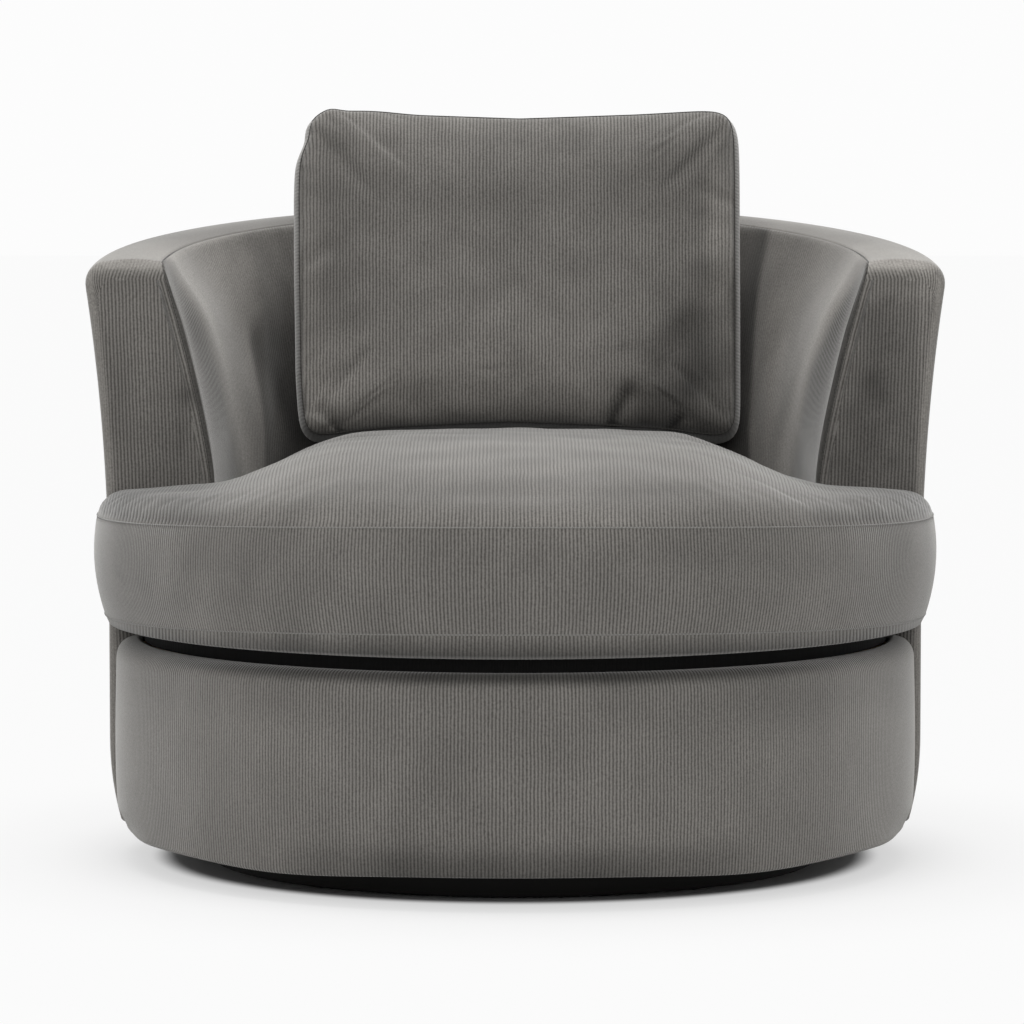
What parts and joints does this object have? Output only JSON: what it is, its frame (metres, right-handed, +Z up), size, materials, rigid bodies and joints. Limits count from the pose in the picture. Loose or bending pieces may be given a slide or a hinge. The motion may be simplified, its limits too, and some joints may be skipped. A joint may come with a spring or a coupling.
{
  "type": "swivel armchair",
  "caption": "Round swivel barrel armchair in ribbed cord, with a recessed black plinth, sloped padded arms, a loose T-shaped seat cushion and a loose back cushion.",
  "frame": {"origin": "on the floor under the swivel axis, on the face of the middle glide", "axes": "+Z up along the swivel axis, -Y towards the front of the chair, +X to the right seen from the front"},
  "size_m": [1.022, 1.0257, 0.8856],
  "materials": {
    "cord_cloth": "fine ribbed cord, soft nap",
    "black_paint": "matte",
    "black_plastic": "matte",
    "zinc_steel": "satin",
    "bright_steel": "polished",
    "spring_wire": "satin",
    "plywood": "matte",
    "hardboard": "matte",
    "hessian": "matte",
    "black_cloth": "matte",
    "zip_tape": "matte",
    "foam": "matte",
    "fibre": "matte"
  },
  "bodies": {
    "plinth": {"floor_glides": "black_plastic", "plinth_board": "black_paint", "plinth_hoop": "black_paint", "lower_tee_nuts": "zinc_steel", "lower_plate_bolts": "zinc_steel", "swivel_lower_plate": "zinc_steel", "inner_race": "zinc_steel", "race_balls": "bright_steel"},
    "chair_body": {"swivel_upper_plate": "zinc_steel", "outer_race": "zinc_steel", "upper_plate_bolts": "zinc_steel", "upper_tee_nuts": "zinc_steel", "base_board": "plywood", "base_screws": "zinc_steel", "dust_cover": "black_cloth", "arm_panel_left": "plywood", "arm_panel_right": "plywood", "back_ribs": "plywood", "deck_rail": "plywood", "front_deck_rail": "plywood", "front_posts": "plywood", "front_board": "plywood", "rail_screws": "zinc_steel", "top_rail": "plywood", "outer_board": "hardboard", "inner_board": "hardboard", "zigzag_springs": "spring_wire", "spring_clips": "zinc_steel", "spring_cloth": "hessian", "platform_pad": "foam", "platform_cover": "black_cloth", "inner_pad": "foam", "inner_cover": "cord_cloth", "outer_cover": "cord_cloth", "top_pad": "foam", "top_band": "cord_cloth", "arm_facing_left": "cord_cloth", "arm_facing_right": "cord_cloth", "apron_pad": "foam", "apron_cover": "cord_cloth"},
    "seat_cushion": {"seat_foam": "foam", "seat_top_panel": "cord_cloth", "seat_boxing": "cord_cloth", "seat_bottom_panel": "cord_cloth", "seat_zip": "zip_tape"},
    "back_cushion": {"back_filling": "fibre", "back_front_panel": "cord_cloth", "back_gusset": "cord_cloth", "back_rear_panel": "cord_cloth", "back_zip": "zip_tape"}
  },
  "joints": [
    {"name": "swivel", "type": "hinge", "parent": "plinth", "child": "chair_body", "pos_m": [0, 0, 0.03], "axis": [0, 0, 1], "continuous": true},
    {"name": "seat_lift", "type": "slide", "parent": "chair_body", "child": "seat_cushion", "axis": [0, 0, 1], "range_m": [0, 0.45]},
    {"name": "back_lift", "type": "slide", "parent": "seat_cushion", "child": "back_cushion", "axis": [0, 0, 1], "range_m": [0, 0.45]}
  ]
}
